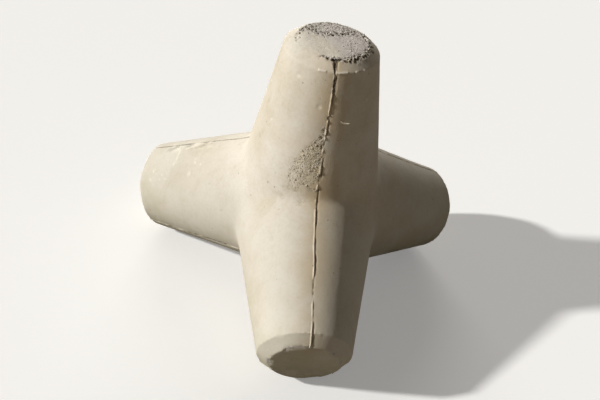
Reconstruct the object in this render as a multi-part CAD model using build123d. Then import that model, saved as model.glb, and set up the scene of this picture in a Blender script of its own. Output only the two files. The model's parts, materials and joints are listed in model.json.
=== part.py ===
from build123d import *
import math
import os

# A concrete armour unit for a breakwater, cast in one piece. Its four equal
# legs point to the corners of a regular tetrahedron, so it stands on three of
# them with the fourth upright. Millimetres, +Z up along the upright leg. The
# origin is the centre of the body, where the axes of the four legs meet, and
# one of the lower legs points to -Y.

# Every leg is a truncated cone with a chamfered end
leg_reach = 1350.0          # centre of the body to an end face
root_radius = 492.0         # where the facing sides of two legs would meet
rim_radius = 330.0          # at the foot of the end chamfer
end_face_radius = 246.0
chamfer_length = 70.0       # along the leg
valley_radius = 60.0        # rounding of the crease between two legs

# Mortar that ran into the joints of the steel mould stands proud as fins
seam_width = 14.0           # along the legs, where two shells of the mould meet
seam_height = 7.0           # square to the leg's axis
ring_width = 20.0           # round each leg, between the shells and the end cap
ring_height = 5.0           # square to the leg's axis

# Angles of the regular tetrahedron
leg_angle = math.degrees(math.acos(-1 / 3))     # between any two legs
valley_angle = leg_angle / 2                    # from a leg to the crease
corner_angle = 180 - leg_angle                  # from a leg to where three meet

# Sizes that follow
rim_distance = leg_reach - chamfer_length
root_distance = root_radius / math.tan(math.radians(valley_angle))
taper = (root_radius - rim_radius) / (rim_distance - root_distance)
chamfer_slope = (rim_radius - end_face_radius) / chamfer_length
centre_radius = root_radius + taper * root_distance     # cone at the centre
corner_distance = centre_radius / (
    math.sin(math.radians(corner_angle)) + taper * math.cos(math.radians(corner_angle))
)                                                       # where three legs meet
beyond = 3 * leg_reach      # far enough outside the body to cut it through


def cone_radius(distance):
    """Radius of a leg's cone at a distance from the centre of the body."""
    return centre_radius - taper * distance


def leg():
    """One leg, upright: the cone, the ring fin round its rim and the chamfer."""
    ring_foot = rim_distance - ring_width / 2
    ring_top = rim_distance + ring_width / 2
    outline = Polyline(
        (0, 0),
        (centre_radius, 0),
        (cone_radius(ring_foot), ring_foot),
        (rim_radius + ring_height, rim_distance),
        (rim_radius - chamfer_slope * ring_width / 2, ring_top),
        (end_face_radius, leg_reach),
        (0, leg_reach),
        close=True,
    )
    return revolve(Plane.YZ * make_face(outline), Axis.Z)


def lowered(shape):
    """Turns an upright leg, or what belongs to it, into the leg at -Y."""
    return Rot(X=leg_angle) * Rot(Z=180) * shape


def third_of_a_turn():
    """The wedge round an upright leg that faces the leg at -Y."""
    half_opening = beyond * math.tan(math.radians(60))
    corner = Polyline((0, 0), (-half_opening, -beyond), (half_opening, -beyond), close=True)
    return extrude(make_face(corner), beyond, both=True)


def seam_fin():
    """The fin from the end of the upright leg, over the valley, to the end of
    the leg at -Y: a plate in the plane of both axes that stands out of them."""
    valley_distance = (centre_radius + seam_height) / (
        math.tan(math.radians(valley_angle)) + taper
    )
    valley = (-(cone_radius(valley_distance) + seam_height), valley_distance)
    outline = [
        (0, leg_reach),
        (-(end_face_radius + seam_height), leg_reach),
        (-(rim_radius + seam_height), rim_distance),
    ]
    crease = Axis((0, 0, 0), (0, valley[0], valley[1]))
    half = make_face(Polyline((0, 0), *outline, valley, close=True))
    half = extrude(Plane.YZ * half, seam_width / 2, both=True)
    return half + half.rotate(crease, 180)


def valley_block():
    """The sixth of the body between the upright leg and the leg at -Y. The
    crease is rounded on a slab that ends just past where a third leg comes in."""
    corner_radius = corner_distance * math.sin(math.radians(corner_angle))
    half_slab = corner_radius * math.sin(math.radians(60)) + seam_width
    upright = leg() & Box(2 * half_slab, 2 * beyond, 2 * beyond)
    both = upright + lowered(upright)
    crease = both.edges().sort_by_distance((0, -root_radius, root_distance))[0]
    both = fillet(crease, valley_radius)
    wedge = third_of_a_turn()
    block = both & wedge & lowered(wedge)
    return block + seam_fin()


def turned_to_lower_legs(block):
    """Moves a block from the upright leg to one between two lower legs."""
    down = math.radians(90 - leg_angle)
    front_leg = Axis((0, 0, 0), (0, -math.cos(down), math.sin(down)))
    return block.rotate(front_leg, 120)


block = valley_block()
pair_blocks = [block, turned_to_lower_legs(block)]
blocks = [Rot(Z=120 * turn) * piece for piece in pair_blocks for turn in range(3)]
tetrapod = blocks[0].fuse(*blocks[1:]).clean()

os.makedirs("parts", exist_ok=True)
export_step(tetrapod, "parts/tetrapod.step")
print("volume m3", round(tetrapod.volume / 1e9, 4), "valid", tetrapod.is_valid)
print("height", round(tetrapod.bounding_box().size.Z, 1))
print("solids", len(tetrapod.solids()), "faces", len(tetrapod.faces()))
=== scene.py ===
import json
import math

import bpy
import numpy as np
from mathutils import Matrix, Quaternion, Vector


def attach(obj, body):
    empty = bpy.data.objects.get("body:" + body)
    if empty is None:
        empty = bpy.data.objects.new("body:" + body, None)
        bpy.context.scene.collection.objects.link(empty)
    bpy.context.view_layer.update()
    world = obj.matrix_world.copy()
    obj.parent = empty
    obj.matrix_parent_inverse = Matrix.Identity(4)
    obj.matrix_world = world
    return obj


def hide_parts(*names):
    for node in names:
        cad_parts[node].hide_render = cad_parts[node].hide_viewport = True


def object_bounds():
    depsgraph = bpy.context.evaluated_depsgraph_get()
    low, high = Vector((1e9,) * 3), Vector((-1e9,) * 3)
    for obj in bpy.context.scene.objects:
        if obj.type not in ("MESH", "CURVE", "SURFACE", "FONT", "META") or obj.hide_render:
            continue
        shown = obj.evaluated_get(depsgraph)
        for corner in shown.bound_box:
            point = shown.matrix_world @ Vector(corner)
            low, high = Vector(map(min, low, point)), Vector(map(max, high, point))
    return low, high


# The looks of a concrete tetrapod: its weathered body with ragged mould fins,
# and the stones that show in the rough end of its upright leg. Metres.

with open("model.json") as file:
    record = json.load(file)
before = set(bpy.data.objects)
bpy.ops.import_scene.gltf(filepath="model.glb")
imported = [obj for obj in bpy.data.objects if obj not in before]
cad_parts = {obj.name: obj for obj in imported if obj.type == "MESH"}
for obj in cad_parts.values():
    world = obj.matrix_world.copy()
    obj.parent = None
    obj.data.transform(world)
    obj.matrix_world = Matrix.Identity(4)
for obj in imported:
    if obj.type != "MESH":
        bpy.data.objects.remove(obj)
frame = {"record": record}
cad_low, cad_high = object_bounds()

# The body, as in the model that it is laid on
mounts = {m["name"]: m for m in frame["record"]["mounts"]}
leg_names = ["upright", "front", "right", "left"]
leg_axes = np.array([mounts[f"{name}_leg_end"]["axis"] for name in leg_names])
leg_axes /= np.linalg.norm(leg_axes, axis=1, keepdims=True)
leg_reach = mounts["upright_leg_end"]["pos_m"][2]
root_radius = 0.492         # where the facing sides of two legs would meet
rim_radius = 0.330          # at the foot of the end chamfer
end_face_radius = 0.246
chamfer_length = 0.070      # along the leg
rim_distance = leg_reach - chamfer_length
root_distance = root_radius / math.sqrt(2)
taper = (root_radius - rim_radius) / (rim_distance - root_distance)
centre_radius = root_radius + taper * root_distance

# Softness of the creases between legs and of the turned edges of an end
crease_softness = 0.014
edge_softness = 0.008

# What the surface carries for its material
mask_names = ("end_grey", "stony", "porous", "pitted", "dark", "pale", "stained")

# Mould fins
seam_height = 0.007
seam_half_width = 0.0066
ring_height = 0.0048
ring_half_width = 0.010

# What is left of the ring fin in front on the upright leg: the bearing of the
# middle and the half width, in degrees, of the bare stretch and of each piece
bare_ring = (-80, 42)
ring_pieces = ((-81.5, 7.0), (-62.5, 2.2), (-51.5, 1.8), (-105.0, 4.5))

# Pale chips on the upright leg: bearing in degrees, height and size
chips = ((-101, 1.03, 0.014), (-131, 1.19, 0.015), (-150, 0.80, 0.012), (-45, 1.06, 0.012))

# The upright leg's end. The band of pits follows a line of points, given by
# how far each is to the camera's right and to its back.
end_sink = 0.0072
worn_edge_drop = 0.0230
end_pit_depth = 0.0095
edge_bite_depth = 0.0190
pit_band = np.array([(-0.225, 0.160), (-0.10, 0.072), (0.045, 0.100), (0.10, 0.17)])
pit_band_half_width = 0.034

# How fine the body's grid is. A sector is the third of a leg that faces one
# other leg; its columns stand close together at the mould seam in its middle.
seam_columns = np.array([0, 3.4, 6.8, 10.4, 14.6, 20, 28, 40]) / 400
even_halves = {(0, 2): 40, (0, 3): 40, (1, 2): 24, (1, 3): 28, (2, 3): 18}
side_rows = {"upright": 88, "front": 64, "right": 50, "left": 64}
edge_zone = 0.060           # along the profile, below the rim
inner_zone = 0.014          # along the profile, past the end's edge
coarse_edge = np.array([0, 20, 38, 50, 55, 60, 65, 71, 84, 104, 126, 146, 157, 164, 169, 174])
coarse_edge = coarse_edge / 1000
fine_edge = (0.048, 0.125)  # along the profile, the upright leg's closest rows

# The camera, at the photograph's viewing angle, brought in to fill the frame
camera_azimuth = -98.5
camera_elevation = 36.5
camera_roll = 10.0          # the unit in the photograph leans to the right
camera_distance = 8.0
camera_target = (-0.035, -0.002, -0.022)
camera_lens = 64.0
camera_sensor = 36.0
floor_radius = 60.0


def direction(azimuth, elevation=0.0):
    """The unit vector to an azimuth (0 is +X, 90 is +Y) and an elevation."""
    a, e = math.radians(azimuth), math.radians(elevation)
    return np.array([math.cos(a) * math.cos(e), math.sin(a) * math.cos(e), math.sin(e)])


right_of_view = direction(camera_azimuth + 90)
back_of_view = -direction(camera_azimuth)


def cone_radius(distance):
    """Radius of a leg's cone at a distance from the centre of the body."""
    return centre_radius - taper * distance


def ramp(low, high, x):
    """0 at low, 1 at high, the cubic 3 u^2 - 2 u^3 between them, and held
    beyond them. It falls where low is the larger."""
    u = np.clip((x - low) / (high - low), 0, 1)
    return u * u * (3 - 2 * u)


def between(rise, fall, x):
    """Ramps up over the first pair of values and down over the second."""
    return ramp(*rise, x) * ramp(*fall[::-1], x)


def bell(x, width):
    """exp(-(x / width)^2): 1 in the middle, nought a few widths away."""
    return np.exp(-((x / width) ** 2))


def scatter_number(cells, seed):
    """A number from -1 to 1 for each lattice cell: its three whole numbers and
    the seed are multiplied by large primes, mixed bit by bit and scaled."""
    primes = np.array([73856093, 19349663, 83492791], dtype=np.uint64)
    mixed = (cells.astype(np.int64).astype(np.uint64) * primes).sum(-1)
    mixed += np.uint64(seed) * np.uint64(2654435761)
    for shift, factor in ((33, 0xFF51AFD7ED558CCD), (29, 0xC4CEB9FE1A85EC53)):
        mixed = (mixed ^ (mixed >> np.uint64(shift))) * np.uint64(factor)
    return (mixed >> np.uint64(40)).astype(float) / 2.0**23 - 1


def noise(points, size, seed):
    """Value noise from -1 to 1: a scattered number at each corner of a cubic
    lattice with cells of the given size, blended smoothly between corners."""
    place = points / size
    cell = np.floor(place)
    share = place - cell
    share = share * share * (3 - 2 * share)
    total = np.zeros(points.shape[:-1])
    for corner in np.ndindex(2, 2, 2):
        step = np.array(corner)
        weight = np.prod(np.where(step == 1, share, 1 - share), axis=-1)
        total += weight * scatter_number(cell + step, seed)
    return total


def nearest_spot(points, size, seed):
    """Distance, in cells, to the nearest of a set of spots: one spot in each
    cell of a cubic lattice, moved about in it by scattered numbers."""
    place = points / size
    cell = np.floor(place)
    best = np.full(points.shape[:-1], 9.0)
    for corner in np.ndindex(3, 3, 3):
        home = cell + np.array(corner) - 1
        moved = [0.5 + 0.42 * scatter_number(home, seed + k) for k in range(3)]
        away = place - home - np.stack(moved, axis=-1)
        best = np.minimum(best, np.sqrt((away**2).sum(-1)))
    return best


def half_sector(intervals, dense=0, dense_to=0.0):
    """Angles from a seam out to 60 degrees: the seam's own close columns, then
    evenly spaced ones, or first some dense ones as far as a given angle."""
    angles = [seam_columns]
    if dense:
        angles.append(np.linspace(seam_columns[-1], dense_to, dense + 1)[1:])
    left = intervals + 1 - sum(map(len, angles))
    angles.append(np.linspace(angles[-1][-1], math.pi / 3, left + 1)[1:])
    return np.concatenate(angles)


def sector_halves(first, second):
    """The two halves of the sector between two legs, on the side against and
    the side with the cross product of their axes."""
    if (first, second) == (0, 1):
        return half_sector(40, dense=22, dense_to=0.56), half_sector(40)
    both = half_sector(even_halves[first, second])
    return both, both


def end_profile():
    """(distance along the leg, radius) from just below the rim, over the
    chamfer to the middle of the end face: straight runs whose corners are
    softened by a running mean, and the length along them."""
    corners = np.array([
        (rim_distance - edge_zone, rim_radius + taper * edge_zone),
        (rim_distance, rim_radius),
        (leg_reach, end_face_radius),
        (leg_reach, 0.0),
    ])
    runs = np.linalg.norm(np.diff(corners, axis=0), axis=1)
    marks = np.concatenate([[0], np.cumsum(runs)])
    fine = np.linspace(0, marks[-1], 4001)
    sharp = np.stack([np.interp(fine, marks, corners[:, k]) for k in (0, 1)], axis=1)
    reach = int(edge_softness / (fine[1] - fine[0]))
    padded = np.pad(sharp, ((reach, reach), (0, 0)), mode="edge")
    kernel = np.ones(2 * reach + 1) / (2 * reach + 1)
    soft = np.stack([np.convolve(padded[:, k], kernel, mode="valid") for k in (0, 1)], axis=1)
    blend = ramp(0, edge_softness * 2, np.minimum(fine, marks[-1] - fine))[:, None]
    return fine, sharp * (1 - blend) + soft * blend, marks


profile_length, profile, profile_marks = end_profile()


def on_profile(stops):
    """(distance, radius) at the given lengths along the end's profile."""
    return np.stack([np.interp(stops, profile_length, profile[:, k]) for k in (0, 1)], axis=-1)


class Leg:
    """The surface of one leg as points with outward directions. Its grid has
    angles round the axis as columns. Its rows run from the crease with the
    neighbouring leg, where the distance along the axis is radius x cos(angle)
    / sqrt(2), up the cone, over the rim and the chamfer, and across the end."""

    def __init__(self, index):
        self.index = index
        self.name = leg_names[index]
        self.axis = leg_axes[index]
        self.points, self.directions, self.besides, self.faces = [], [], [], []
        self.count = 0
        self.set_columns()
        self.make_side()
        self.make_edge()
        if self.name == "upright":
            self.make_square_end()
        else:
            self.make_round_end()
        self.points = np.concatenate(self.points)
        self.directions = np.concatenate(self.directions)
        self.besides = np.concatenate(self.besides)

    def set_columns(self):
        """Angles of all columns, from 60 degrees before the first seam, and for
        each third of a turn the square-to-seam direction shared by both legs."""
        others = [other for other in range(4) if other != self.index]
        flat = [leg_axes[o] - (leg_axes[o] @ self.axis) * self.axis for o in others]
        if np.cross(flat[0], flat[1]) @ self.axis < 0:
            others[1:], flat[1:] = others[:0:-1], flat[:0:-1]
        self.zero = flat[0] / np.linalg.norm(flat[0])
        self.quarter = np.cross(self.axis, self.zero)
        angles, self.planes = [], []
        for turn, other in enumerate(others):
            pair = tuple(sorted((self.index, other)))
            against, along = sector_halves(*pair)
            if other < self.index:
                against, along = along, against
            local = np.concatenate([-against[::-1], along[1:]])[:-1]
            angles.append(local + turn * 2 * math.pi / 3)
            across = np.cross(leg_axes[pair[0]], leg_axes[pair[1]])
            self.planes.append(across / np.linalg.norm(across))
        self.angles = np.concatenate(angles)
        self.planes = np.array(self.planes)

    def add(self, along, radius, angle, rise):
        """Adds points at distances along the axis, radii and angles, whose
        outward directions lean by rise = (outward part, part along the axis)."""
        outward = self.zero * np.cos(angle)[..., None] + self.quarter * np.sin(angle)[..., None]
        place = along[..., None] * self.axis + radius[..., None] * outward
        facing = rise[0][..., None] * outward + rise[1][..., None] * self.axis
        facing = facing / np.linalg.norm(facing, axis=-1, keepdims=True)
        turn = np.floor((angle + math.pi / 3) / (2 * math.pi / 3) + 1e-9).astype(int) % 3
        self.points.append(place.reshape(-1, 3))
        self.directions.append(facing.reshape(-1, 3))
        self.besides.append(self.planes[turn].reshape(-1, 3))
        numbers = np.arange(place[..., 0].size).reshape(place.shape[:-1]) + self.count
        self.count += numbers.size
        return numbers

    def join(self, lower, upper):
        """Quads between two closed rings, or three triangles for each column
        where the upper ring has twice as many points."""
        a, b = lower, np.roll(lower, -1)
        if len(upper) == len(lower):
            self.faces += np.stack([a, b, np.roll(upper, -1), upper], axis=-1).tolist()
            return
        left, middle = upper[::2], upper[1::2]
        right = np.roll(left, -1)
        for corners in ((a, b, middle), (a, middle, left), (b, right, middle)):
            self.faces += np.stack(corners, axis=-1).tolist()

    def make_side(self):
        """The cone, from the crease up to the edge zone."""
        facing_share = np.cos((self.angles + math.pi / 3) % (2 * math.pi / 3) - math.pi / 3)
        share = facing_share / math.sqrt(2)
        crease = share * centre_radius / (1 + share * taper)
        steps = np.linspace(0, 1, side_rows[self.name] + 1)[:-1, None]
        along = crease + steps * (rim_distance - edge_zone - crease)
        angle = np.broadcast_to(self.angles, along.shape)
        whole = np.ones(along.shape)
        self.side = self.add(along, cone_radius(along), angle, (whole, taper * whole))
        for lower, upper in zip(self.side[:-1], self.side[1:]):
            self.join(lower, upper)

    def make_edge(self):
        """The rim, the chamfer and the turn into the end face. On the upright
        leg the columns double and spread out evenly on the way to the rim."""
        last = profile_marks[2] + inner_zone
        angles = self.angles
        stops = np.concatenate([coarse_edge[coarse_edge < last - 0.004], [last]])
        even = angles
        if self.name == "upright":
            middles = (angles + np.append(angles[1:], angles[0] + 2 * math.pi)) / 2
            angles = np.stack([angles, middles], axis=-1).ravel()
            even = np.arange(len(angles)) * 2 * math.pi / len(angles) - math.pi / 3
            stops = np.concatenate([
                np.linspace(0, fine_edge[0], 7),
                np.linspace(*fine_edge, 14)[1:],
                np.linspace(fine_edge[1], last, 19)[1:],
            ])
        spread = ramp(0, edge_zone, stops)[:, None]
        angle = angles * (1 - spread) + even * spread
        steps = [stops + k * edge_softness / 2 for k in (-1, 0, 1)]
        before, here, after = [on_profile(step)[:, None] for step in steps]
        whole = np.ones(angle.shape)
        rise = ((after - before)[..., 0] * whole, (before - after)[..., 1] * whole)
        edge = self.add(here[..., 0] * whole, here[..., 1] * whole, angle, rise)
        self.join(self.side[-1], edge[0])
        for lower, upper in zip(edge[:-1], edge[1:]):
            self.join(lower, upper)
        self.last_ring, self.last_angles, self.last_radius = edge[-1], angle[-1], here[-1, 0, 1]

    def make_round_end(self):
        """The end face as rings that close on a point in the middle."""
        radii = np.linspace(self.last_radius, 0.03, 8)[1:, None]
        shape = (len(radii), len(self.last_angles))
        flat = (np.zeros(shape), np.ones(shape))
        angle = np.broadcast_to(self.last_angles, shape)
        rings = self.add(np.full(shape, leg_reach), radii * np.ones(shape), angle, flat)
        for lower, upper in zip([self.last_ring, *rings[:-1]], rings):
            self.join(lower, upper)
        nought, one = np.array(0.0), np.array(1.0)
        tip = self.add(np.array(leg_reach), nought, nought, (nought, one))
        last = rings[-1]
        fan = np.stack([last, np.roll(last, -1), np.full(len(last), tip)], axis=-1)
        self.faces += fan.tolist()

    def make_square_end(self):
        """The end face as a square grid pressed into a disc: a point whose
        larger square coordinate is a and smaller b lies at radius a and at the
        angle 45 degrees x b / a from that coordinate's axis."""
        n = len(self.last_ring) // 4
        line = np.linspace(-1, 1, n + 1)
        u, v = np.meshgrid(line, line, indexing="ij")
        wide = np.abs(u) >= np.abs(v)
        larger, smaller = np.where(wide, u, v), np.where(wide, v, u)
        lean = math.pi / 4 * smaller / np.where(larger == 0, 1, larger)
        angle = np.where(wide, lean, math.pi / 2 - lean) + np.where(larger < 0, math.pi, 0)
        angle = angle + self.last_angles[0] + math.pi / 4
        radius = np.abs(larger) * self.last_radius
        inner = (slice(1, -1), slice(1, -1))
        shape = (n - 1, n - 1)
        flat = (np.zeros(shape), np.ones(shape))
        grid = np.zeros((n + 1, n + 1), int)
        grid[inner] = self.add(np.full(shape, leg_reach), radius[inner], angle[inner], flat)
        ring = self.last_ring.reshape(4, n)
        grid[-1, :-1], grid[1:, -1] = ring[0], ring[1][::-1]
        grid[0, 1:], grid[:-1, 0] = ring[2][::-1], ring[3]
        quads = np.stack([grid[:-1, :-1], grid[1:, :-1], grid[1:, 1:], grid[:-1, 1:]], axis=-1)
        self.faces += quads.reshape(-1, 4).tolist()


def soften_creases(places):
    """Rounds the creases between legs. The distance from each leg's cone is
    taken, more where the place isn't beside that leg, the four are joined by
    the soft minimum -s log(sum exp(-distance / s)), and each place moves along
    its slope until that is nought."""
    beside_leg, push_away = 0.14, 1.5
    steepness = 1 / math.sqrt(1 + taper * taper)
    for _ in range(4):
        along = places @ leg_axes.T
        away = places[..., None, :] - along[..., None] * leg_axes
        radius = np.linalg.norm(away, axis=-1)
        distance = (radius - cone_radius(along)) * steepness
        distance += np.maximum(0, beside_leg - along) * push_away
        slope = (away / radius[..., None] + taper * leg_axes) * steepness
        nearest = distance.min(-1, keepdims=True)
        weight = np.exp(-(distance - nearest) / crease_softness)
        total = weight.sum(-1, keepdims=True)
        value = nearest[..., 0] - crease_softness * np.log(total[..., 0])
        towards = (weight[..., None] / total[..., None] * slope).sum(-2)
        size = (towards**2).sum(-1)
        places = places - (value / size)[..., None] * towards
    return places, towards / np.sqrt(size)[..., None]


def on_front_seam(besides):
    """Whether the seam with this square direction is the one in front."""
    return np.abs(besides[:, 0]) > 0.999


def seam_fin(line, place, front, crevice):
    """The fin at places beside a seam, and how whole it is there. Its height
    and width wander with noise, and it is gone in parts and where crevice is
    1. On the front seam, from 0.30 high, it is whole but notched, with only
    dots left of it from 0.60 to 0.80."""
    height = line[:, 2]
    ragged = 0.60 + 0.45 * noise(line, 0.052, 13) + 0.50 * noise(line, 0.016, 14)
    whole = ramp(-0.55, -0.30, noise(line, 0.15, 15) + 0.35 * noise(line, 0.037, 16))
    steady = front * (ramp(0.79, 0.82, height) + between((0.28, 0.34), (0.59, 0.62), height))
    bitten = front * between((0.59, 0.62), (0.79, 0.82), height)
    dots = ramp(-0.05, 0.25, noise(line, 0.024, 38))
    whole = whole + steady * (1 - whole) + bitten * (dots - whole)
    ragged = ragged + steady * (0.20 + 0.45 * noise(line, 0.027, 56))
    notches = ramp(-0.20, -0.44, noise(line, 0.030, 57))
    whole = whole * (1 - crevice) * (1 - steady * notches)
    width = seam_half_width * (0.80 + 0.30 * noise(line, 0.05, 17))
    across = ramp(1.0, 0.28, np.abs(place) / width)
    return across * np.clip(ragged, 0.05, 1) * whole, whole


def seam_crack(line, place, crevice):
    """The open crack at places beside a seam where crevice is 1, and the beads
    of mortar to the left of it. It wanders, is 3 mm to each side, varies with
    noise, and widens to a funnel at the leg's end."""
    height = line[:, 2]
    width = 0.0026 + 0.0009 * ramp(1.16, 1.28, height)
    width = width + 0.0130 * ramp(1.280, 1.352, height) + 0.0150 * ramp(1.312, 1.352, height)
    width = width * (1 + 0.40 * noise(line, 0.024, 28) + 0.25 * noise(line, 0.011, 29))
    beads = ramp(-0.05, 0.35, noise(line, 0.026, 39)) * ramp(1.30, 1.25, height) * crevice
    strength = np.clip(crevice * (1.15 + 0.6 * noise(line, 0.035, 20)), 0, 1) * (1 - 0.70 * beads)
    crack = bell(place - 0.0035 * noise(line, 0.050, 30), width) * strength
    return crack, beads * bell(place + 0.0030, 0.0042)


class Finish:
    """What casting and weather left on a surface, at given places: how far it
    stands out, how far it is worn straight down, and from 0 to 1 where it is
    end-face grey, stony, porous, pitted, dark with grime and painted shade,
    pale, or stained by water and painted with warm half shade."""

    def __init__(self, places):
        self.places = places
        self.relief = np.zeros(len(places))
        self.drop = np.zeros(len(places))
        for mask in mask_names:
            setattr(self, mask, np.zeros(len(places)))

    def noise(self, size, seed):
        return noise(self.places, size, seed)

    def deepen(self, mask, amount, where=slice(None)):
        """Raises a mask to an amount where it is lower, at all or some places."""
        values = getattr(self, mask)
        values[where] = np.maximum(values[where], np.clip(amount, 0, 1))

    def skin(self):
        """Slow waves from the mould's plates, and small unevenness."""
        self.relief += 0.0020 * self.noise(0.42, 21) + 0.0009 * self.noise(0.10, 22)
        self.relief += 0.0004 * self.noise(0.030, 23)

    def seam(self, besides, crevice, gap):
        """The line where two shells of the mould met: the fin, a groove to
        each side, the scar where the fin broke off, the crack, and where gap
        is 1 an open slit. All but the fin are bells across the seam, each of
        its own width. All but the fin are darkened with grime and painted
        shade, the groove beside the fin as the fin's painted shadow."""
        offset = (self.places * besides).sum(-1)
        on_seam = self.places - offset[:, None] * besides
        # The tan band beside the front seam: water stain, and painted warm half shade along the
        # shading edge there
        in_front = on_front_seam(besides) * ramp(0.25, -0.05, self.places[:, 1])
        spread = 0.13 + 0.05 * noise(on_seam, 0.25, 33)
        self.deepen("stained", bell(offset, spread) * in_front)
        near = np.abs(offset) < 0.06
        line, crevice, gap = on_seam[near], crevice[near], gap[near]
        place = offset[near] - 0.0024 * noise(line, 0.11, 11) - 0.0013 * noise(line, 0.028, 12)
        fin, whole = seam_fin(line, place, in_front[near], crevice)
        crack, beads = seam_crack(line, place, crevice)
        beside = ramp(-0.25, 0.45, noise(line, 0.08, 18)) * bell(place - 0.012, 0.0050)
        other = gap * ramp(0.1, 0.6, noise(line, 0.07, 19)) * bell(place + 0.012, 0.0045)
        lost = (1 - whole) * bell(place, 0.0060) * ramp(-0.4, 0.2, noise(line, 0.022, 27))
        slit = ramp(-0.75, -0.30, noise(line, 0.12, 34) + 0.4 * noise(line, 0.03, 35))
        slit = gap * slit * bell(place - 0.0125, 0.0062)
        depth = 0.0050 * beside + 0.0034 * other + 0.0140 * crack + 0.0040 * lost
        self.relief[near] += seam_height * fin + 0.0040 * beads - np.maximum(depth, 0.0100 * slit)
        # Painted shade and grime: the grooves, crack, slit and scar darkened, the groove beside the
        # fin as the fin's painted shadow
        dark = 0.75 * beside + 0.5 * other + 1.15 * crack + 0.65 * lost
        self.deepen("dark", np.maximum(dark, slit), near)
        self.deepen("pale", 0.75 * (fin + 0.9 * beads), near)

    def rim(self, along, radius, strength, chipped):
        """The fin where the shells met the end cap, broken in parts, and
        chips out of the rim and of the edge of the end."""
        from_rim = along - rim_distance - 0.0018 * self.noise(0.12, 26)
        ragged = strength + 0.60 * self.noise(0.065, 24) + 0.50 * self.noise(0.018, 25)
        ring = np.clip(ragged, 0, 1) * ramp(0.95, 0.15, np.abs(from_rim) / ring_half_width)
        self.relief += ring_height * ring
        self.deepen("pale", 1.3 * ring)
        chip = ramp(0.30, 0.62, self.noise(0.075, 31) + 0.4 * self.noise(0.020, 32)) * chipped
        at_edge = bell(np.hypot(along - leg_reach, radius - end_face_radius), 0.014)
        self.relief -= chip * (0.0028 * bell(from_rim, 0.012) + 0.007 * at_edge)
        self.deepen("stony", chip * at_edge)

    def hollows(self, centres, radii):
        """Round air holes: 0.42 of a radius deep, by (1 - (r / radius)^2)^2, and
        painted dark inside as shade.
        """
        for centre, radius in zip(centres, radii):
            close = np.clip(1 - ((self.places - centre) ** 2).sum(-1) / radius**2, 0, 1)
            self.relief -= 0.42 * radius * close**2
            # Painted shade inside the hole
            self.deepen("dark", 0.36 * close**1.5)

    def porous_patch(self):
        """The honeycombed patch to the left of the front seam, at the foot of
        the upright leg: inside four soft limits, of which the upper one
        slants, with scattered pits that get fainter away from the seam."""
        x, y, z = self.places.T
        limits = (
            (0.955 + 1.5 * x - z) / 0.10,
            (-x - 0.003) / 0.018,
            (0.28 + x) / 0.12,
            (z - 0.33) / 0.24,
        )
        score = np.minimum(np.min(limits, axis=0), 1.3)
        near = np.flatnonzero((score > -0.5) & (y < 0))
        spots = self.places[near]
        broken = 0.48 * noise(spots, 0.055, 51) + 0.44 * noise(spots, 0.020, 52)
        share = ramp(0.02, 0.85, score[near] + broken)
        far = ramp(-0.05, -0.20, spots[:, 0])
        pit = ramp(0.46, 0.16, nearest_spot(spots, 0.027, 61))
        bare_pit = pit * ramp(-0.35, 0.25, noise(spots, 0.07, 53))
        deep = share * (1 - 0.5 * far) * (0.0070 * bare_pit + 0.0018)
        self.relief[near] -= deep - share * 0.0014 * noise(spots, 0.024, 54)
        clumps = ramp(-0.30, 0.40, noise(spots, 0.075, 56))
        specks = ramp(0.20, 0.50, noise(spots, 0.016, 55)) * (1 - pit)
        self.deepen("porous", share * (1 - 0.35 * far), near)
        self.deepen("pitted", share * (1 - 0.35 * far) * (0.25 + 0.75 * clumps), near)
        # Painted shade in the bare pits
        self.deepen("dark", share * (1 - 0.60 * far) * 0.42 * bare_pit, near)
        self.deepen("pale", share * (0.45 + 0.35 * far) * specks, near)

    def scars(self):
        """Pale chips on the upright leg: exp(-(distance / size)^5) deep."""
        x, y, z = self.places.T
        bearing = np.arctan2(y, x)
        for turn, height, size in chips:
            across = (bearing - math.radians(turn)) * np.hypot(x, y)
            spot = np.exp(-((across**2 + (z - height) ** 2) / size**2) ** 2.5)
            self.relief -= 0.0032 * spot
            self.deepen("pale", 0.8 * spot)

    def below_seam(self, along, besides):
        """Distance from the seam round the leg, on the side of besides."""
        outer = cone_radius(along)
        return np.arcsin(np.clip((self.places * besides).sum(-1) / outer, -1, 1)) * outer

    def spatter(self, along, run):
        """Blobs of mortar below the seam on top of the left leg, and a few
        further down: raised where noise is high."""
        crowd = between((0.60, 0.74), (1.08, 1.20), along) * between((0.016, 0.030), (0.07, 0.13), run)
        few = between((0.50, 0.60), (1.16, 1.24), along) * between((0.09, 0.14), (0.32, 0.38), run)
        lumps = self.noise(0.042, 36) + 0.6 * self.noise(0.019, 37)
        blobs = crowd * ramp(0.08, 0.36, lumps) + few * ramp(0.80, 1.00, lumps)
        # Low places among the blobs, painted dark as shade
        low = crowd * ramp(-0.15, -0.40, lumps)
        self.relief += 0.0062 * blobs - 0.0010 * low
        self.deepen("pale", 0.95 * blobs)
        self.deepen("dark", 0.34 * low)

    def smear(self, along, run):
        """A thin curved line of mortar across the front of the left leg, where
        the distance along the leg is 0.965 + 0.02 u^2 for u from -1 to 1."""
        u = (run - 0.165) / 0.105
        line = bell(along - 0.965 - 0.02 * u**2, 0.0075) * ramp(1.0, 0.6, np.abs(u))
        self.relief += 0.0026 * line
        self.deepen("pale", 0.80 * line)

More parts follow.
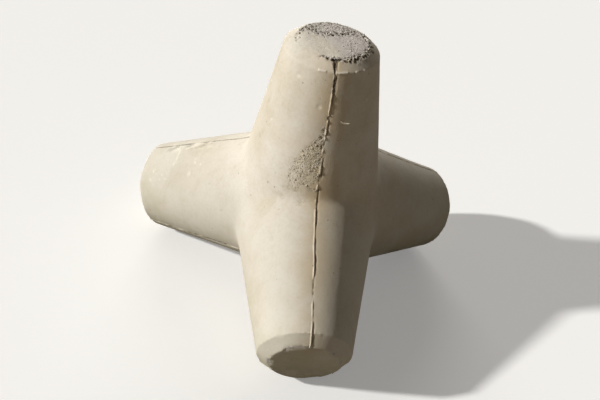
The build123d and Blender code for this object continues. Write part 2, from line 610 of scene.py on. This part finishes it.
    def upright_end(self, along, radius):
        """The end that the concrete was poured through, told as the camera
        sees it: a face that is sunk and grey on the right, level and creamy on
        the left, and stony at the back, with a band of pits in from the left,
        and round it an edge that is worn in front on the left. The worn edge
        drops by the square of how far a place is up the chamfer times how far
        it is to the front left."""
        to_right, to_back = self.places @ right_of_view, self.places @ back_of_view
        to_front_left = -0.87 * to_right - 0.50 * to_back
        bearing = np.degrees(np.arctan2(to_right, -to_back))
        below = leg_reach - along
        wander = 0.010 * self.noise(0.06, 41) + 0.006 * self.noise(0.018, 42)
        flush = ramp(0.10, 0.20, to_front_left + 0.5 * wander)
        past_edge = (end_face_radius + 0.003 + wander - radius) / (0.006 + 0.040 * flush)
        face = ramp(-1.0, 1.0, past_edge - flush) * ramp(0.022, 0.004, below)
        level = np.maximum(flush, ramp(0.10, 0.20, -to_right))
        right = ramp(0.02, 0.15, to_right)
        back = ramp(0.03, 0.13, to_back + 0.05 * self.noise(0.06, 43))
        creamy = ramp(-0.06, 0.12, to_front_left + 1.2 * wander)
        band = bell(distance_to_line(to_right, to_back, pit_band), pit_band_half_width)
        stony = face * np.clip(0.12 + 0.22 * right + 0.50 * back + 0.8 * band, 0, 1)
        self.relief += face * (0.0024 * self.noise(0.12, 45) - end_sink * (1 - 0.90 * level))
        self.relief += stony * (0.0020 * self.noise(0.021, 44) + 0.0012 * self.noise(0.011, 46))
        on_chamfer = np.clip(1 - below / chamfer_length, 0, 1)
        self.drop = worn_edge_drop * (np.clip((to_front_left - 0.04) / 0.206, 0, 1) * on_chamfer) ** 2
        self.deepen("end_grey", face * (1 - 0.92 * creamy))
        self.deepen("stony", stony)
        self.stained *= 1 - face

        # Pits, in the band and along the edge on the left, painted dark as shade
        worn = between((-150, -135), (-84, -66), bearing)
        worn = worn * ramp(0.205, 0.232, radius) * ramp(0.020, 0.006, below)
        band = np.maximum(band, 0.75 * worn)
        pit = ramp(0.50, 0.24, nearest_spot(self.places, 0.030, 81))
        second = ramp(0.50, 0.26, nearest_spot(self.places, 0.021, 84))
        pit = np.maximum(pit, second * ramp(0.25, 0.70, band))
        pit = pit * np.maximum(face, worn) * np.clip(1.5 * band + 0.12 * back, 0, 1)
        pit = pit * ramp(-0.8, -0.2, self.noise(0.04, 47))
        self.relief -= end_pit_depth * pit
        # Painted shade in the pits
        self.deepen("dark", pit)
        self.deepen("pitted", face * np.clip(0.95 * band + 0.55 * back + 0.24 + 0.20 * right, 0, 1))
        specks = ramp(0.20, 0.50, self.noise(0.017, 50)) * (1 - pit) * face
        self.deepen("pale", specks * np.clip(0.75 * band + 0.25 * back, 0, 1))
        self.broken_edge(bearing, radius, below, wander, worn)

    def broken_edge(self, bearing, radius, below, wander, worn):
        """Bites out of the edge of the end, from the front (bearing 0) round
        the right (90), fainter elsewhere: a bell across the edge, deepest at
        scattered spots, darkened with grime and painted shade."""
        broken = between((-26, -8), (100, 160), bearing)
        weight = np.maximum(broken, 0.50 * ramp(120, 165, np.abs(bearing)) + 0.28 * worn)
        worst = between((-15, 2), (70, 100), bearing)
        crumbled = self.noise(0.030, 48) + self.noise(0.012, 49) + 0.30 * worst
        crumbled = ramp(-0.50, 0.05, crumbled)
        bite = ramp(-0.15, 0.50, self.noise(0.038, 58) + 0.6 * self.noise(0.015, 59))
        teeth = ramp(0.58, 0.34, nearest_spot(self.places, 0.024, 85))
        breadth = 0.0105 + 0.0075 * ramp(-16, -3, bearing) - 0.0060 * ramp(60, 95, bearing)
        breadth = breadth + 0.0095 * bite
        from_edge = radius - 0.247 - 0.006 * bite - 0.5 * wander
        gap = bell(from_edge, breadth) * crumbled * weight * ramp(0.040, 0.012, below)
        self.relief -= edge_bite_depth * gap * (0.30 + 0.70 * teeth)
        self.deepen("stony", 0.8 * gap)
        # Grime and painted shade in the bites
        bite_grime_and_painted_shade = bell(from_edge - 0.003 - 0.001 * bite, breadth + 0.002) * crumbled
        bite_grime_and_painted_shade = bite_grime_and_painted_shade * np.clip(weight * 1.3, 0, 1) * ramp(0.055, 0.025, below)
        self.deepen("dark", bite_grime_and_painted_shade * (0.22 + 1.6 * teeth))


def distance_to_line(across, back, line):
    """Distance from each place to the nearest run of a line of points."""
    spot = np.stack([across, back], axis=-1)
    best = np.full(len(spot), np.inf)
    for start, stop in zip(line[:-1], line[1:]):
        run = stop - start
        share = np.clip(((spot - start) @ run) / (run @ run), 0, 1)
        best = np.minimum(best, np.linalg.norm(spot - start - share[:, None] * run, axis=-1))
    return best


def ring_strength(bearing):
    """How much of the ring fin is left round the upright leg in front."""
    middle, half = bare_ring
    strength = 0.02 - 0.45 * (np.abs(bearing - middle) < half)
    for middle, half in ring_pieces:
        strength += 1.35 * ramp(half + 1.2, half - 0.6, np.abs(bearing - middle))
    return strength


def finish_leg(leg):
    """Gives one leg's points their places after softening and relief, and
    returns their finish. The mould seams stop at the edge of the end face."""
    side = leg.side.size
    flat = leg.points.copy()
    leg.points[:side], leg.directions[:side] = soften_creases(leg.points[:side])
    along = flat @ leg.axis
    radius = np.linalg.norm(flat - along[:, None] * leg.axis, axis=-1)
    finish = Finish(leg.points)
    finish.skin()
    x, y, z = leg.points.T
    upright = leg.name == "upright"
    front_seam = on_front_seam(leg.besides)
    crevice = ramp(1.12, 1.18, z) * front_seam * upright
    gap = ((leg.points @ leg_axes[leg_names.index("left")] > 0.30) & ~front_seam).astype(float)
    before = {key: getattr(finish, key).copy() for key in ("relief", "dark", "pale")}
    finish.seam(leg.besides, crevice, gap)
    outside = ramp(end_face_radius - 0.014, end_face_radius - 0.002, radius)
    for key, old in before.items():
        setattr(finish, key, old + (getattr(finish, key) - old) * outside)
    if upright:
        finish.rim(along, radius, ring_strength(np.degrees(np.arctan2(y, x))), 0.15)
        finish.scars()
        finish.upright_end(along, radius)
    else:
        finish.rim(along, radius, 0.02, 1.0)
    if leg.name == "left":
        to_upright = np.abs(leg.besides @ leg_axes[0]) < 1e-6
        run = finish.below_seam(along, np.where(to_upright[:, None], leg.besides, 0))
        finish.smear(along, run)
        finish.spatter(along, run)
    finish.porous_patch()
    finish.hollows(air_holes, air_hole_sizes)
    leg.points = leg.points + finish.relief[:, None] * leg.directions
    leg.points[:, 2] -= finish.drop
    return finish


def scatter_air_holes(count, seed):
    """Random places on the cones of all four legs, each with a radius of 8 mm
    and up to 11 mm more, by the cube of a random number."""
    rng = np.random.default_rng(seed)
    axis = leg_axes[rng.integers(0, 4, count)]
    along = rng.uniform(0.42, 1.26, count)
    helper = np.where(np.abs(axis[:, 2:]) > 0.9, [[0.0, 1.0, 0.0]], [[0.0, 0.0, 1.0]])
    across = np.cross(axis, helper)
    across /= np.linalg.norm(across, axis=1, keepdims=True)
    angle = rng.uniform(0, 2 * math.pi, count)[:, None]
    outward = across * np.cos(angle) + np.cross(axis, across) * np.sin(angle)
    places = axis * along[:, None] + outward * cone_radius(along)[:, None]
    return places, 0.008 + 0.011 * rng.random(count) ** 3


air_holes, air_hole_sizes = scatter_air_holes(64, 5)


def mesh_object(name, places, faces, masks):
    """A smooth-shaded mesh piece from arrays, with a number per point for
    each mask."""
    mesh = bpy.data.meshes.new(name)
    mesh.from_pydata(places.tolist(), [], faces)
    for key, values in masks.items():
        layer = mesh.attributes.new(key, "FLOAT", "POINT")
        layer.data.foreach_set("value", values.astype(np.float32))
    mesh.polygons.foreach_set("use_smooth", np.ones(len(mesh.polygons), bool))
    mesh.update()
    piece = bpy.data.objects.new(name, mesh)
    bpy.context.scene.collection.objects.link(piece)
    return piece


def make_body():
    """The four legs in one closed mesh: crease points of two or three legs
    that lie within half a millimetre of each other become one."""
    places, faces, masks, creases, start = [], [], [], [], 0
    for index in range(4):
        leg = Leg(index)
        finish = finish_leg(leg)
        places.append(leg.points)
        creases.append(leg.side[0] + start)
        faces.append([[corner + start for corner in face] for face in leg.faces])
        masks.append([getattr(finish, key) for key in mask_names])
        start += leg.count
    places, masks = np.concatenate(places), np.concatenate(masks, axis=1)
    creases = np.concatenate(creases)
    apart = np.linalg.norm(places[creases][:, None] - places[creases][None], axis=-1)
    kept = np.arange(len(places))
    kept[creases] = creases[np.argmax(apart < 0.0005, axis=1)]
    used, new_number = np.unique(kept, return_inverse=True)
    new_number = new_number.ravel()
    faces = [[int(new_number[corner]) for corner in face] for leg in faces for face in leg]
    places = np.clip(places[used], np.array(cad_low), np.array(cad_high))
    return mesh_object("concrete_body", places, faces, dict(zip(mask_names, masks[:, used])))


body = make_body()
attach(body, "root")
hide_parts("tetrapod")


def capped_rings(rings, around):
    """Faces over rings of points, quads between them and triangles to a pole
    at each end. The poles' numbers come after those of the rings."""
    one = np.arange(rings * around).reshape(rings, around)
    beside = np.roll(one, -1, axis=1)
    quads = np.stack([one[:-1], one[1:], beside[1:], beside[:-1]], axis=-1).reshape(-1, 4)
    pole = np.full(around, rings * around)
    first = np.stack([one[0], beside[0], pole], axis=-1)
    last = np.stack([beside[-1], one[-1], pole + 1], axis=-1)
    return quads, np.concatenate([first, last])


def make_stones(name, centres, sizes, seed):
    """Many small broken stones in one mesh. Each is a ball of three rings of
    eight points and two poles, stretched along its three axes, made lumpy by
    noise, and turned at random."""
    rng = np.random.default_rng(seed)
    count = len(centres)
    polar, turn = np.linspace(0, math.pi, 5)[1:-1, None], np.arange(8) * math.pi / 4
    level = np.cos(polar) * np.ones(8)
    rings = np.stack([np.sin(polar) * np.cos(turn), np.sin(polar) * np.sin(turn), level], axis=-1)
    ball = np.concatenate([rings.reshape(-1, 3), [[0, 0, 1], [0, 0, -1]]])
    lumps = 1 + 0.22 * noise(ball + rng.uniform(0, 99, (count, 1, 3)), 0.7, seed)
    shape = ball * lumps[..., None] * rng.uniform(0.62, 1.12, (count, 1, 3))
    turns = np.linalg.qr(rng.normal(size=(count, 3, 3)))[0]
    turns = turns * np.linalg.det(turns)[:, None, None]
    places = centres[:, None] + sizes[:, None, None] * np.einsum("sij,svj->svi", turns, shape)
    starts = (np.arange(count) * len(ball))[:, None, None]
    faces = []
    for corners in capped_rings(3, 8):
        faces += (corners + starts).reshape(-1, corners.shape[1]).tolist()
    places = np.clip(places.reshape(-1, 3), np.array(cad_low), np.array(cad_high) - 0.0002)
    return mesh_object(name, places, faces, {"tone": np.repeat(rng.random(count), len(ball))})


def lay_stones(name, finish, facing, sizes, shown, closeness, sunk, seed):
    """Stones at the finish's places where shown, left out where one would be
    nearer to an earlier one than closeness times the sum of their sizes, and
    sunk into the surface by a share of their size."""
    kept = []
    for number in np.flatnonzero(shown):
        away = np.linalg.norm(finish.places[kept] - finish.places[number], axis=-1)
        if (away > closeness * (sizes[kept] + sizes[number])).all():
            kept.append(number)
    sizes = sizes[kept]
    height = (finish.relief - finish.drop)[kept] - sunk * sizes
    return make_stones(name, finish.places[kept] + height[:, None] * facing[kept], sizes, seed)


def end_stones():
    """Stones of the mix that show in the end of the upright leg, most of them
    where the face is stony."""
    rng = np.random.default_rng(31)
    count = 3600
    reach = (end_face_radius + 0.002) * np.sqrt(rng.random(count))
    turn = rng.uniform(0, 2 * math.pi, count)
    level = np.full(count, leg_reach)
    finish = Finish(np.stack([reach * np.cos(turn), reach * np.sin(turn), level], axis=1))
    finish.skin()
    finish.upright_end(level, reach)
    sizes = 0.0045 + 0.0115 * rng.random(count) ** 2.2
    shown = finish.stony * (finish.dark < 0.5) > rng.uniform(0.12, 1.0, count)
    up = np.tile([0.0, 0.0, 1.0], (count, 1))
    return lay_stones("end_stones", finish, up, sizes, shown, 0.95, 0.50, 32)


def patch_stones():
    """Small stones laid bare in the porous patch at the upright leg's foot."""
    rng = np.random.default_rng(41)
    count = 2600
    across, height = rng.uniform(0.0, 0.30, count), rng.uniform(0.36, 0.90, count)
    reach = cone_radius(height)
    turn = -math.pi / 2 - across / reach
    places = np.stack([reach * np.cos(turn), reach * np.sin(turn), height], axis=1)
    places, facing = soften_creases(places)
    finish = Finish(places)
    finish.skin()
    finish.porous_patch()
    sizes = 0.0045 + 0.0080 * rng.random(count) ** 1.8
    shown = finish.porous * (finish.dark < 0.30) > rng.uniform(0.45, 1.0, count)
    return lay_stones("patch_stones", finish, facing, sizes, shown, 1.15, 0.52, 42)


def mortar_lip():
    """A curved lip of mortar on the right of the upright leg: a half-sunk bar
    for u from -1 to 1, at the height 0.925 + 0.0112 (u - 0.4)^2. It reaches
    out by 17.5 mm x sqrt(1 - u^2), varied by noise and thinner to the left,
    and up and down by 0.36 of that."""
    along, around = 25, 10
    u = np.linspace(-0.97, 0.97, along)
    height = 0.925 + 0.0112 * (u - 0.4) ** 2
    reach = cone_radius(height)
    bearing = math.radians(-72) + 0.037 * u / reach
    outward = np.stack([np.cos(bearing), np.sin(bearing), np.zeros(along)], axis=1)
    middle = outward * reach[:, None] + np.outer(height, [0, 0, 1])
    finish = Finish(middle)
    finish.skin()
    middle = middle + (finish.relief + 0.0005)[:, None] * outward
    thickness = 0.0175 * np.sqrt(1 - u**2) * (1 + 0.2 * noise(middle, 0.014, 91)) * (0.80 + 0.20 * u)
    turn = np.arange(around) * 2 * math.pi / around
    across = outward[:, None] * np.cos(turn)[:, None] + np.array([0, 0, 0.36]) * np.sin(turn)[:, None]
    rings = middle[:, None] + thickness[:, None, None] * across
    places = np.concatenate([rings.reshape(-1, 3), 2 * middle[[0, -1]] - middle[[1, -2]]])
    quads, caps = capped_rings(along, around)
    tone = np.full(len(places), 0.5)
    return mesh_object("mortar_lip", places, quads.tolist() + caps.tolist(), {"tone": tone})


class Nodes:
    """Short ways to add and join shader nodes in one tree."""

    def __init__(self, tree):
        self.tree = tree

    def add(self, kind, inputs=None, **values):
        """A node with its settings, and inputs given by name or number."""
        node = self.tree.nodes.new(kind)
        for key, value in values.items():
            setattr(node, key, value)
        for key, value in (inputs or {}).items():
            self.feed(value, node.inputs[key])
        return node

    def feed(self, value, socket):
        """Links a node's output to a socket, or sets the socket's own value."""
        if isinstance(value, bpy.types.NodeSocket):
            self.tree.links.new(value, socket)
        else:
            socket.default_value = value

    def math(self, operation, first, second=0.0, third=0.0, clamp=False):
        node = self.add("ShaderNodeMath", operation=operation, use_clamp=clamp)
        for value, socket in zip((first, second, third), node.inputs):
            self.feed(value, socket)
        return node.outputs[0]

    def times(self, first, second):
        return self.math("MULTIPLY", first, second)

    def minus(self, first, second):
        return self.math("SUBTRACT", first, second)

    def add_times(self, first, second, third):
        """The third, with the first times the second added."""
        return self.math("MULTIPLY_ADD", first, second, third)

    def span(self, value, low, high, to_low=0.0, to_high=1.0):
        """Carries low..high over to to_low..to_high, smoothly and held at the ends."""
        node = self.add("ShaderNodeMapRange", interpolation_type="SMOOTHSTEP")
        for given, socket in zip((value, low, high, to_low, to_high), node.inputs):
            self.feed(given, socket)
        return node.outputs[0]

    def mix(self, share, first, second):
        """Mixes two colours by a share."""
        node = self.add("ShaderNodeMix", data_type="RGBA", blend_type="MIX")
        self.feed(share, node.inputs[0])
        self.feed(first, node.inputs[6])
        self.feed(second, node.inputs[7])
        return node.outputs[2]

    def coat(self, under, share, strength, tone):
        """Lays a tone over a colour, by a share of a strength."""
        return self.mix(self.times(share, strength), under, colour(*tone))

    def noise(self, place, scale, detail=3.0, roughness=0.55, distortion=0.0):
        node = self.add("ShaderNodeTexNoise", inputs={
            "Vector": place, "Scale": scale, "Detail": detail,
            "Roughness": roughness, "Distortion": distortion,
        })
        return node.outputs["Fac"]

    def cells(self, place, scale):
        """Distance from the middle of a random cell, and three numbers of its own."""
        node = self.add("ShaderNodeTexVoronoi", feature="F1", inputs={
            "Vector": place, "Scale": scale, "Randomness": 1.0,
        })
        numbers = self.add("ShaderNodeSeparateColor", inputs={0: node.outputs["Color"]}).outputs
        return node.outputs["Distance"], numbers

    def bump(self, shader, strength, distance, height):
        node = self.add("ShaderNodeBump", inputs={
            "Strength": strength, "Distance": distance, "Height": height,
        })
        self.feed(node.outputs[0], shader.inputs["Normal"])


def colour(red, green, blue):
    """A colour as the eye reads it, 0 to 255, in the renderer's own scale."""
    parts = np.array([red, green, blue]) / 255
    low, high = parts / 12.92, ((parts + 0.055) / 1.055) ** 2.4
    return (*np.where(parts <= 0.04045, low, high).tolist(), 1.0)


def mottle_group():
    """Slow and quick changes of tone, fine sand, and rain marks that run down:
    one colour made from a pale and a dark one, and the sand's height."""
    tree = bpy.data.node_groups.new("weathered mottle", "ShaderNodeTree")
    for name, kind in (("Place", "NodeSocketVector"), ("Pale", "NodeSocketColor"),
                       ("Dark", "NodeSocketColor"), ("Strength", "NodeSocketFloat")):
        tree.interface.new_socket(name, in_out="INPUT", socket_type=kind)
    tree.interface.new_socket("Color", in_out="OUTPUT", socket_type="NodeSocketColor")
    tree.interface.new_socket("Height", in_out="OUTPUT", socket_type="NodeSocketFloat")
    n = Nodes(tree)
    given = n.add("NodeGroupInput").outputs
    out = n.add("NodeGroupOutput").inputs
    place = given["Place"]
    slow = n.noise(place, 1.9, 3.0, 0.5)
    blotches = n.noise(place, 7.5, 5.0, 0.62, 0.6)
    quick = n.noise(place, 46.0, 4.0, 0.65)
    sand = n.noise(place, 330.0, 2.0, 0.6)
    run = n.add("ShaderNodeMapping", inputs={"Vector": place, "Scale": (16.0, 16.0, 1.1)})
    marks = n.noise(run.outputs[0], 1.0, 4.0, 0.6)
    tone = n.times(n.span(slow, 0.33, 0.70), 0.42)
    for pattern, low, high, share in ((blotches, 0.40, 0.76, 0.22), (marks, 0.48, 0.76, 0.18),
                                      (quick, 0.38, 0.70, 0.20), (sand, 0.35, 0.75, 0.16)):
        tone = n.add_times(n.span(pattern, low, high), share, tone)
    tone = n.math("MULTIPLY", tone, given["Strength"], clamp=True)
    n.feed(n.mix(tone, given["Pale"], given["Dark"]), out["Color"])
    n.feed(n.add_times(quick, 0.5, n.times(sand, 0.35)), out["Height"])
    return tree


mottle = mottle_group()


def new_material(name):
    """A material with an empty tree but for its Principled BSDF and output."""
    material = bpy.data.materials.new(name)
    material.use_nodes = True
    tree = material.node_tree
    tree.nodes.clear()
    n = Nodes(tree)
    shader = n.add("ShaderNodeBsdfPrincipled")
    output = n.add("ShaderNodeOutputMaterial")
    tree.links.new(shader.outputs[0], output.inputs["Surface"])
    return material, n, shader


def weathered(n, place, pale, dark, strength=1.0):
    """The mottle group, placed in a material with its own colours."""
    node = n.add("ShaderNodeGroup")
    node.node_tree = mottle
    for key, value in (("Place", place), ("Pale", pale), ("Dark", dark), ("Strength", strength)):
        n.feed(value, node.inputs[key])
    return node.outputs["Color"], node.outputs["Height"]


def cement_skin(n, place, mask):
    """Cream-grey skin with warm drifts, a tan stain by the front seam that is
    also painted warm half shade, and pale lime bloom, and low on the unit a
    green film, a greyer zone darkened partly as painted shade, and damp."""
    skin, sand = weathered(n, place, colour(233, 227, 215), colour(203, 192, 169))
    warm = n.span(n.noise(place, 2.6, 4.0, 0.55, 0.4), 0.46, 0.70)
    skin = n.coat(skin, warm, 0.16, (218, 198, 164))
    # Tan by the front seam: water stain and painted warm half shade
    runs = n.span(n.noise(place, 3.4, 4.0, 0.6, 0.3), 0.26, 0.60)
    skin = n.coat(skin, n.times(mask["stained"], runs), 0.62, (206, 180, 136))
    bloom = n.span(n.noise(place, 6.0, 6.0, 0.66, 0.8), 0.60, 0.74)
    skin = n.coat(skin, bloom, 0.45, (238, 233, 224))

    height = n.add("ShaderNodeSeparateXYZ", inputs={0: place}).outputs[2]
    patchy = n.span(n.noise(place, 4.2, 5.0, 0.62, 0.5), 0.36, 0.64)
    skin = n.coat(skin, n.times(n.span(height, 0.02, -0.66), patchy), 0.50, (188, 186, 132))
    # Greyer and darker low on the unit: partly a greyer tone, partly painted shade that offsets the
    # stronger light on the lower legs' tops
    skin = n.coat(skin, n.span(height, 0.40, -0.05), 0.36, (205, 201, 189))
    damp = n.span(n.noise(place, 8.0, 4.0, 0.6), 0.30, 0.60)
    skin = n.coat(skin, n.times(n.span(height, -0.40, -0.72), damp), 0.32, (112, 108, 84))
    return skin, sand


def pinholes(n, place):
    """Pinholes left by air against the mould, in about a quarter of random
    cells."""
    distance, numbers = n.cells(place, 21.0)
    size = n.span(numbers[0], 0.66, 1.0, 0.0, 0.13)
    near = n.math("DIVIDE", distance, n.math("ADD", size, 0.001))
    return n.times(n.minus(1.0, n.span(near, 0.55, 1.0)), n.math("GREATER_THAN", size, 0.012))


def poured_end(n, place, mask, skin):
    """Grey mortar, grit and chalky spots of the poured end and of broken
    edges, over the skin, and the height of the rough parts."""
    mortar, mortar_height = weathered(n, place, colour(218, 211, 204), colour(163, 155, 147))
    grit = n.span(n.noise(place, 120.0, 4.0, 0.7), 0.50, 0.66)
    chalky = n.span(n.noise(place, 31.0, 4.0, 0.6), 0.50, 0.68)
    stony = n.coat(mortar, grit, 0.55, (126, 120, 114))
    stony = n.coat(stony, chalky, 0.55, (220, 215, 209))
    end = n.mix(n.times(mask["stony"], 0.85), mortar, stony)
    skin = n.mix(mask["end_grey"], skin, end)
    only_stony = n.times(mask["stony"], n.minus(1.0, mask["end_grey"]))
    skin = n.mix(n.times(only_stony, 0.75), skin, stony)
    return skin, n.add_times(grit, -1.6, n.times(mortar_height, 2.2))


def small_pores(n, place, mask, skin):
    """Small pores with pale rims where the surface is pitted, in random cells
    on a place that noise moves about, over the skin, with painted shade in
    them, and their depth."""
    drift = n.noise(place, 60.0, 2.0, 0.6)
    three = n.add("ShaderNodeCombineXYZ", inputs={0: drift, 1: drift, 2: drift}).outputs[0]
    moved = n.add("ShaderNodeVectorMath", operation="MULTIPLY_ADD", inputs={
        0: three, 1: (0.012, -0.012, 0.012), 2: place,
    }).outputs[0]
    distance, numbers = n.cells(moved, 58.0)
    opening = n.times(n.span(numbers[1], 0.30, 1.0, 0.0, 0.52), mask["pitted"])
    outside = n.minus(distance, opening)
    depth = n.times(n.minus(1.0, n.span(outside, -0.10, 0.05)), n.span(opening, 0.05, 0.16))
    lip = n.times(n.span(outside, 0.03, 0.10), n.span(outside, 0.24, 0.10))
    lip = n.times(lip, n.span(opening, 0.08, 0.26))
    skin = n.coat(skin, lip, 0.34, (236, 228, 210))
    # Painted shade inside the pores
    return n.coat(skin, depth, 0.62, (84, 76, 62)), depth


def concrete_material():
    """Weathered concrete: cream-grey skin with sand, pinholes and run marks,
    grey and stony at the end, tan and pitted in the porous patch, dark with
    grime and painted shade in cracks and pits, pale on the mortar fins."""
    material, n, shader = new_material("weathered concrete")
    place = n.add("ShaderNodeTexCoord").outputs["Object"]
    mask = {k: n.add("ShaderNodeAttribute", attribute_name=k).outputs["Fac"] for k in mask_names}
    skin, sand = cement_skin(n, place, mask)
    pinhole = pinholes(n, place)
    # Pinholes painted dark inside as shade
    skin = n.coat(skin, pinhole, 0.42, (124, 112, 90))
    skin, rough_height = poured_end(n, place, mask, skin)
    tan, _ = weathered(n, place, colour(224, 213, 188), colour(172, 156, 124))
    skin = n.mix(n.times(mask["porous"], 0.70), skin, tan)
    skin, pore_depth = small_pores(n, place, mask, skin)

    # Pale mortar on fins and lips; grime and painted shade in cracks, grooves, holes and pits
    frayed = n.span(n.noise(place, 75.0, 4.0, 0.65), 0.30, 0.62)
    pale = n.times(mask["pale"], n.add_times(frayed, 0.40, 0.50))
    skin = n.mix(pale, skin, colour(243, 236, 220))
    grime_and_painted_shade = n.span(n.minus(mask["dark"], n.times(frayed, 0.22)), 0.10, 0.62)
    skin = n.coat(skin, grime_and_painted_shade, 0.86, (64, 56, 44))
    # A brown rim round the grime and painted shade
    skin = n.coat(skin, n.span(mask["dark"], 0.02, 0.35), 0.22, (140, 124, 98))
    n.feed(skin, shader.inputs["Base Color"])

    shader.inputs["Specular IOR Level"].default_value = 0.25
    n.feed(n.add_times(sand, 0.12, 0.80), shader.inputs["Roughness"])
    rough = n.math("MAXIMUM", mask["stony"], mask["porous"])
    even_height = n.times(n.add_times(pinhole, -2.4, sand), n.minus(1.0, rough))
    height = n.math("ADD", even_height, n.times(rough_height, rough))
    height = n.add_times(n.times(frayed, mask["dark"]), 2.0, height)
    height = n.add_times(pore_depth, -2.2, height)
    n.bump(shader, 0.9, 0.0022, height)
    return material


def stone_material(name, dusty, greyest, brownest):
    """Broken stone of the mix: each stone has its own tone, under the same
    dust and mortar stain."""
    material, n, shader = new_material(name)
    place = n.add("ShaderNodeTexCoord").outputs["Object"]
    tone = n.add("ShaderNodeAttribute", attribute_name="tone").outputs["Fac"]
    own = n.mix(n.span(tone, 0.05, 0.95), colour(*greyest), colour(*brownest))
    own = n.coat(own, n.math("GREATER_THAN", tone, 0.86), 0.7, (214, 207, 194))
    stained, height = weathered(n, place, colour(*dusty), own, 1.9)
    n.feed(stained, shader.inputs["Base Color"])
    shader.inputs["Specular IOR Level"].default_value = 0.3
    n.feed(n.add_times(height, 0.15, 0.66), shader.inputs["Roughness"])
    n.bump(shader, 0.7, 0.0016, height)
    return material


def floor_material():
    """Plain pale floor. The camera sees it near white; what light it throws
    back on the unit is that of a darker, sandy floor."""
    material, n, shader = new_material("plain pale floor")
    seen = n.add("ShaderNodeLightPath").outputs["Is Camera Ray"]
    sandy, pale = (0.32, 0.28, 0.23, 1.0), (0.90, 0.90, 0.89, 1.0)
    n.feed(n.mix(seen, sandy, pale), shader.inputs["Base Color"])
    shader.inputs["Roughness"].default_value = 1.0
    shader.inputs["Specular IOR Level"].default_value = 0.0
    shader.inputs["Emission Color"].default_value = (1.0, 1.0, 1.0, 1.0)
    n.feed(n.times(seen, 0.228), shader.inputs["Emission Strength"])
    return material


body.data.materials.append(concrete_material())

# The small pieces, and for each the colours of its dust and of its own stone
# from the greyest to the brownest
small_pieces = (
    (end_stones(), "stone in the end", (196, 189, 182), (146, 142, 138), (126, 114, 99)),
    (patch_stones(), "stone in the patch", (220, 208, 182), (184, 174, 154), (156, 136, 106)),
    (mortar_lip(), "mortar lip", (242, 235, 219), (222, 210, 186), (206, 190, 160)),
)
for piece, material_name, *tones in small_pieces:
    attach(piece, "root")
    piece.data.materials.append(stone_material(material_name, *tones))


def make_floor():
    """A round floor, far wider than the view, at the height of the lowest point."""
    mesh = bpy.data.meshes.new("floor")
    turn = np.linspace(0, 2 * math.pi, 65)[:-1]
    ring = np.stack([np.cos(turn), np.sin(turn), np.zeros(64)], axis=1) * floor_radius
    ring[:, 2] = cad_low[2]
    mesh.from_pydata(ring.tolist(), [], [list(range(64))])
    floor = bpy.data.objects.new("floor", mesh)
    bpy.context.scene.collection.objects.link(floor)
    mesh.materials.append(floor_material())


def add_sun(name, azimuth, elevation, strength, spread, tint):
    """A soft lamp that shines from an azimuth and an elevation."""
    lamp = bpy.data.lights.new(name, "SUN")
    lamp.energy = strength
    lamp.angle = math.radians(spread)
    lamp.color = tint
    holder = bpy.data.objects.new(name, lamp)
    holder.rotation_mode = "QUATERNION"
    holder.rotation_quaternion = Vector(direction(azimuth, elevation)).to_track_quat("Z", "Y")
    bpy.context.scene.collection.objects.link(holder)


def make_world():
    """Even light from all round, seen by the camera as the pale floor goes on."""
    world = bpy.data.worlds.new("studio")
    world.use_nodes = True
    tree = world.node_tree
    tree.nodes.clear()
    n = Nodes(tree)
    ambient = n.add("ShaderNodeBackground", inputs={"Color": (1.0, 0.90, 0.77, 1), "Strength": 0.090})
    seen = n.add("ShaderNodeBackground", inputs={"Color": (0.882, 0.876, 0.845, 1), "Strength": 1.0})
    path = n.add("ShaderNodeLightPath")
    either = n.math("MAXIMUM", path.outputs["Is Camera Ray"], path.outputs["Is Glossy Ray"])
    mixer = n.add("ShaderNodeMixShader", inputs={0: either, 1: ambient.outputs[0], 2: seen.outputs[0]})
    output = n.add("ShaderNodeOutputWorld")
    tree.links.new(mixer.outputs[0], output.inputs["Surface"])
    bpy.context.scene.world = world


def make_camera():
    """A camera that looks at its target from the photograph's angle, rolled."""
    data = bpy.data.cameras.new("camera")
    camera = bpy.data.objects.new("camera", data)
    bpy.context.scene.collection.objects.link(camera)
    back = Vector(direction(camera_azimuth, camera_elevation))
    camera.location = Vector(camera_target) + back * camera_distance
    camera.rotation_mode = "QUATERNION"
    roll = Quaternion((0, 0, 1), math.radians(camera_roll))
    camera.rotation_quaternion = back.to_track_quat("Z", "Y") @ roll
    data.sensor_width = camera_sensor
    data.lens = camera_lens
    data.clip_end = 200
    bpy.context.scene.camera = camera


make_floor()
make_world()
make_camera()
add_sun("key", azimuth=187.0, elevation=27.5, strength=3.48, spread=3.0, tint=(1.0, 0.985, 0.955))
add_sun("fill", azimuth=92.0, elevation=18.0, strength=1.25, spread=34.0, tint=(1.0, 0.97, 0.92))

bpy.context.scene.view_settings.view_transform = "Standard"
